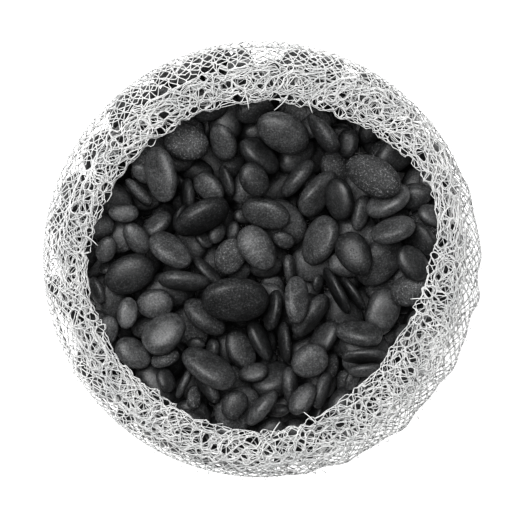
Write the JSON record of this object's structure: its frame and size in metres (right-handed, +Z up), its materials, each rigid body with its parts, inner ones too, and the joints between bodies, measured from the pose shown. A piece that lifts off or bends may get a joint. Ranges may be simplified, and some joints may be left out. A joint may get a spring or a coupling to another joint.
{
  "type": "net sack of pebbles",
  "caption": "Open tubular net sack of dark polished stones, its mouth rolled down into a thick cuff; the top stones lift out.",
  "frame": {"origin": "centre of the base, on the ground", "axes": "+Z up through the mouth"},
  "size_m": [0.2638, 0.2638, 0.092],
  "materials": {
    "netting": "white knitted polyethylene net",
    "basalt": "water-worn, polished to a soft sheen",
    "clip": "plain crimped band"
  },
  "bodies": {
    "sack": {"net_wall": "netting", "net_base": "netting", "base_clip": "clip", "base_tail": "netting", "bottom_stones_a": "basalt", "bottom_stones_b": "basalt", "bottom_stones_c": "basalt", "bottom_stones_d": "basalt", "lower_stones_a": "basalt", "lower_stones_b": "basalt", "lower_stones_c": "basalt", "lower_stones_d": "basalt", "middle_stones_a": "basalt", "middle_stones_b": "basalt", "middle_stones_c": "basalt", "middle_stones_d": "basalt", "upper_stones_a": "basalt", "upper_stones_b": "basalt", "upper_stones_c": "basalt", "upper_stones_d": "basalt", "wall_stones_a": "basalt", "wall_stones_b": "basalt", "wall_stones_c": "basalt", "wall_stones_d": "basalt", "shoulder_stones_a": "basalt", "shoulder_stones_b": "basalt", "shoulder_stones_c": "basalt", "shoulder_stones_d": "basalt", "crevice_stones_a": "basalt", "crevice_stones_b": "basalt", "surface_stones_a": "basalt", "surface_stones_b": "basalt", "surface_stones_c": "basalt", "surface_stones_d": "basalt", "surface_stones_e": "basalt", "surface_stones_f": "basalt"},
    "cuff": {"rolled_cuff": "netting"},
    "loose_stone_01": {"loose_stone_01": "basalt"},
    "loose_stone_02": {"loose_stone_02": "basalt"},
    "loose_stone_03": {"loose_stone_03": "basalt"},
    "loose_stone_04": {"loose_stone_04": "basalt"},
    "loose_stone_05": {"loose_stone_05": "basalt"},
    "loose_stone_06": {"loose_stone_06": "basalt"},
    "loose_stone_07": {"loose_stone_07": "basalt"},
    "loose_stone_08": {"loose_stone_08": "basalt"},
    "loose_stone_09": {"loose_stone_09": "basalt"},
    "loose_stone_10": {"loose_stone_10": "basalt"},
    "loose_stone_11": {"loose_stone_11": "basalt"},
    "loose_stone_12": {"loose_stone_12": "basalt"},
    "loose_stone_13": {"loose_stone_13": "basalt"},
    "loose_stone_14": {"loose_stone_14": "basalt"},
    "loose_stone_15": {"loose_stone_15": "basalt"},
    "loose_stone_16": {"loose_stone_16": "basalt"},
    "loose_stone_17": {"loose_stone_17": "basalt"},
    "loose_stone_18": {"loose_stone_18": "basalt"}
  },
  "joints": [
    {"name": "cuff_raise", "type": "slide", "parent": "sack", "child": "cuff", "axis": [0, 0, 1], "range_m": [0, 0.018]},
    {"name": "lift_stone_01", "type": "slide", "parent": "sack", "child": "loose_stone_01", "axis": [0, 0, 1], "range_m": [0, 0.12]},
    {"name": "lift_stone_02", "type": "slide", "parent": "sack", "child": "loose_stone_02", "axis": [0, 0, 1], "range_m": [0, 0.12]},
    {"name": "lift_stone_03", "type": "slide", "parent": "sack", "child": "loose_stone_03", "axis": [0, 0, 1], "range_m": [0, 0.12]},
    {"name": "lift_stone_04", "type": "slide", "parent": "sack", "child": "loose_stone_04", "axis": [0, 0, 1], "range_m": [0, 0.12]},
    {"name": "lift_stone_05", "type": "slide", "parent": "sack", "child": "loose_stone_05", "axis": [0, 0, 1], "range_m": [0, 0.12]},
    {"name": "lift_stone_06", "type": "slide", "parent": "sack", "child": "loose_stone_06", "axis": [0, 0, 1], "range_m": [0, 0.12]},
    {"name": "lift_stone_07", "type": "slide", "parent": "sack", "child": "loose_stone_07", "axis": [0, 0, 1], "range_m": [0, 0.12]},
    {"name": "lift_stone_08", "type": "slide", "parent": "sack", "child": "loose_stone_08", "axis": [0, 0, 1], "range_m": [0, 0.12]},
    {"name": "lift_stone_09", "type": "slide", "parent": "sack", "child": "loose_stone_09", "axis": [0, 0, 1], "range_m": [0, 0.12]},
    {"name": "lift_stone_10", "type": "slide", "parent": "sack", "child": "loose_stone_10", "axis": [0, 0, 1], "range_m": [0, 0.12]},
    {"name": "lift_stone_11", "type": "slide", "parent": "sack", "child": "loose_stone_11", "axis": [0, 0, 1], "range_m": [0, 0.12]},
    {"name": "lift_stone_12", "type": "slide", "parent": "sack", "child": "loose_stone_12", "axis": [0, 0, 1], "range_m": [0, 0.12]},
    {"name": "lift_stone_13", "type": "slide", "parent": "sack", "child": "loose_stone_13", "axis": [0, 0, 1], "range_m": [0, 0.12]},
    {"name": "lift_stone_14", "type": "slide", "parent": "sack", "child": "loose_stone_14", "axis": [0, 0, 1], "range_m": [0, 0.12]},
    {"name": "lift_stone_15", "type": "slide", "parent": "sack", "child": "loose_stone_15", "axis": [0, 0, 1], "range_m": [0, 0.12]},
    {"name": "lift_stone_16", "type": "slide", "parent": "sack", "child": "loose_stone_16", "axis": [0, 0, 1], "range_m": [0, 0.12]},
    {"name": "lift_stone_17", "type": "slide", "parent": "sack", "child": "loose_stone_17", "axis": [0, 0, 1], "range_m": [0, 0.12]},
    {"name": "lift_stone_18", "type": "slide", "parent": "sack", "child": "loose_stone_18", "axis": [0, 0, 1], "range_m": [0, 0.12]}
  ]
}
